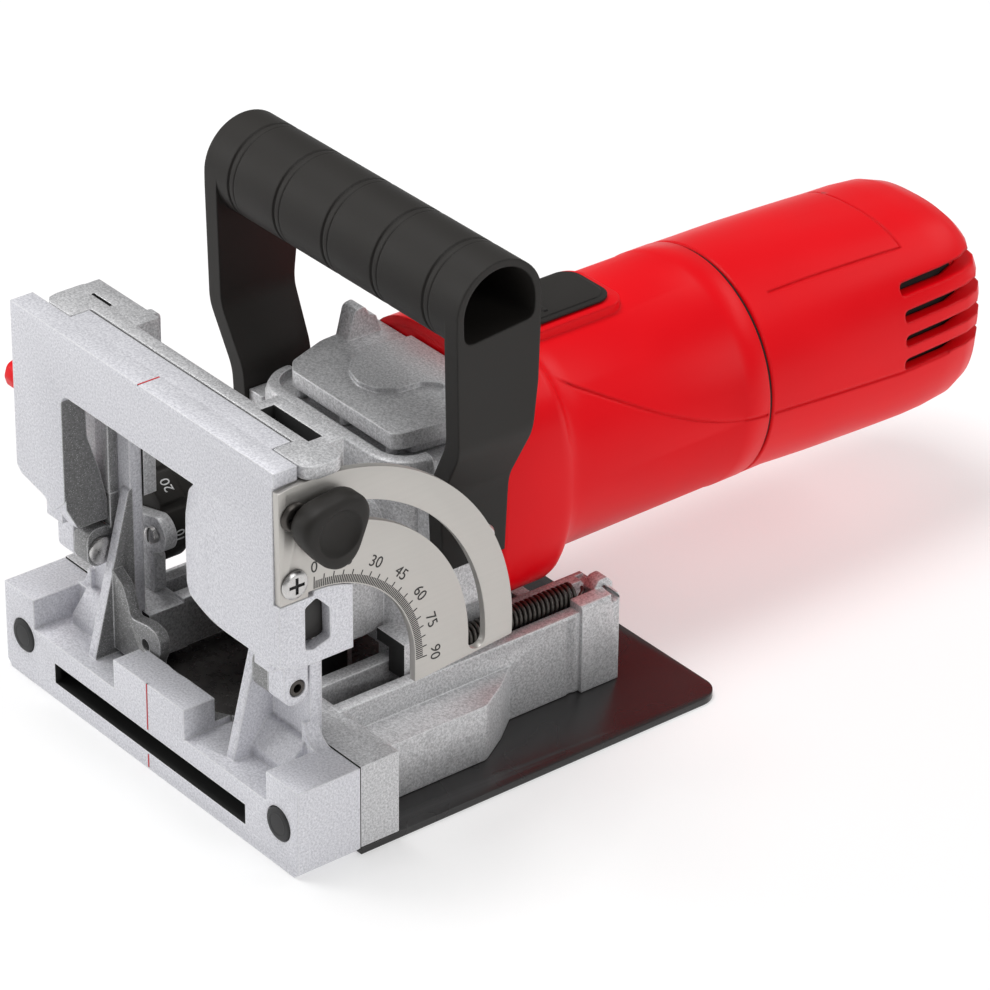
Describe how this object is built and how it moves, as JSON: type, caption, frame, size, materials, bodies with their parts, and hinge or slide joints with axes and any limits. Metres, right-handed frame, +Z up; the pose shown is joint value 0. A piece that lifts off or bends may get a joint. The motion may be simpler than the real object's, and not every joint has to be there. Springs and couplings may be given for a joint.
{
  "type": "biscuit joiner",
  "caption": "Hand-held biscuit joiner: plunging motor unit on a flat base with a slotted front block, a height-adjustable tilting fence with an angle quadrant, and a top loop handle.",
  "frame": {"origin": "on the flat sole, on the centre plane, 10 mm behind the front face of the block", "axes": "+Z up, -Y forwards out of the blade slot, +X to the side of the angle quadrant; the motor runs back along +Y"},
  "size_m": [0.1426, 0.2936, 0.1584],
  "materials": {
    "cast_alu": "bead-blasted die casting with bright worn edges",
    "black_plate": "gloss black paint",
    "black_paint": "satin black",
    "bright_steel": "turned",
    "spring_steel": "oiled",
    "brushed_plate": "fine brushed, etched scale",
    "blade_steel": "ground",
    "laminated_iron": "varnished laminations",
    "copper": "turned",
    "carbon": "pressed carbon",
    "rubber": "matte",
    "black_plastic": "fine grained satin",
    "red_plastic": "smooth moulded"
  },
  "bodies": {
    "base": {"base_plate": "black_plate", "front_block": "cast_alu", "base_casting": "cast_alu", "stop_bracket": "cast_alu", "bracket_screw": "bright_steel", "grip_pad_left": "rubber", "grip_pad_right": "rubber", "plate_screw_left": "bright_steel", "plate_screw_right": "bright_steel", "return_spring_left": "spring_steel", "return_spring_right": "spring_steel"},
    "depth_stop": {"depth_turret": "black_plastic"},
    "carriage": {"carriage": "cast_alu", "tilt_pointer": "black_paint", "roll_pin_right": "spring_steel", "hinge_pin_left": "spring_steel", "tilt_bolt": "bright_steel"},
    "fence": {"fence": "cast_alu", "quadrant_plate": "brushed_plate", "quadrant_screw_upper": "bright_steel", "quadrant_screw_lower": "bright_steel"},
    "tilt_knob": {"tilt_knob": "black_plastic"},
    "height_clamp": {"clamp_lever": "red_plastic", "clamp_stud": "bright_steel"},
    "motor_unit": {"gear_housing": "cast_alu", "gear_cover": "cast_alu", "front_shell": "red_plastic", "seam_ring": "black_plastic", "rear_cap": "red_plastic", "cable_gland": "rubber", "handle": "black_plastic", "handle_screw_left": "bright_steel", "handle_screw_right": "bright_steel", "carbon_brush_left": "carbon", "carbon_brush_right": "carbon", "stator": "laminated_iron", "front_bearing": "bright_steel", "rear_bearing": "bright_steel", "spindle_bearing": "bright_steel", "stop_rod": "bright_steel"},
    "armature": {"armature_shaft": "bright_steel", "pinion": "bright_steel", "rotor_core": "laminated_iron", "commutator": "copper", "cooling_fan": "black_plastic"},
    "spindle": {"spindle": "bright_steel", "crown_gear": "bright_steel", "blade": "blade_steel", "inner_flange": "bright_steel", "flange_nut": "bright_steel"},
    "switch": {"slide_switch": "black_plastic"},
    "spindle_lock": {"spindle_lock_button": "black_plastic"}
  },
  "joints": [
    {"name": "plunge", "type": "slide", "parent": "base", "child": "motor_unit", "axis": [0, -1, 0], "range_m": [0, 0.014], "stiffness_N_per_m": 1600, "springref_m": -0.012, "deforming": ["return_spring_left", "return_spring_right"]},
    {"name": "fence_height", "type": "slide", "parent": "base", "child": "carriage", "axis": [0, 0, 1], "range_m": [-0.018, 0.004]},
    {"name": "fence_tilt", "type": "hinge", "parent": "carriage", "child": "fence", "pos_m": [0, 0.001, 0.05], "axis": [1, 0, 0], "range_deg": [0, 90]},
    {"name": "tilt_knob_turn", "type": "hinge", "parent": "carriage", "child": "tilt_knob", "pos_m": [0.068, 0.0029, 0.1056], "axis": [1, 0, 0], "range_deg": [-120, 0]},
    {"name": "height_clamp_turn", "type": "hinge", "parent": "carriage", "child": "height_clamp", "pos_m": [-0.066, 0.01, 0.094], "axis": [1, 0, 0], "range_deg": [-60, 0]},
    {"name": "depth_turret_turn", "type": "hinge", "parent": "base", "child": "depth_stop", "pos_m": [-0.052, 0.028, 0.046], "axis": [0, 1, 0], "continuous": true},
    {"name": "switch_slide", "type": "slide", "parent": "motor_unit", "child": "switch", "axis": [0, -1, 0], "range_m": [0, 0.006]},
    {"name": "spindle_lock_press", "type": "slide", "parent": "motor_unit", "child": "spindle_lock", "axis": [1, 0, 0], "range_m": [0, 0.003], "stiffness_N_per_m": 600, "springref_m": -0.003},
    {"name": "armature_spin", "type": "hinge", "parent": "motor_unit", "child": "armature", "pos_m": [0, 0.14, 0.0643], "axis": [0, 1, 0], "continuous": true},
    {"name": "spindle_spin", "type": "hinge", "parent": "motor_unit", "child": "spindle", "pos_m": [0, 0.043, 0.03], "axis": [0, 0, 1], "continuous": true}
  ],
  "couplings": [
    {"joint": "spindle_spin", "follows": "armature_spin", "ratio": 0.4375}
  ]
}
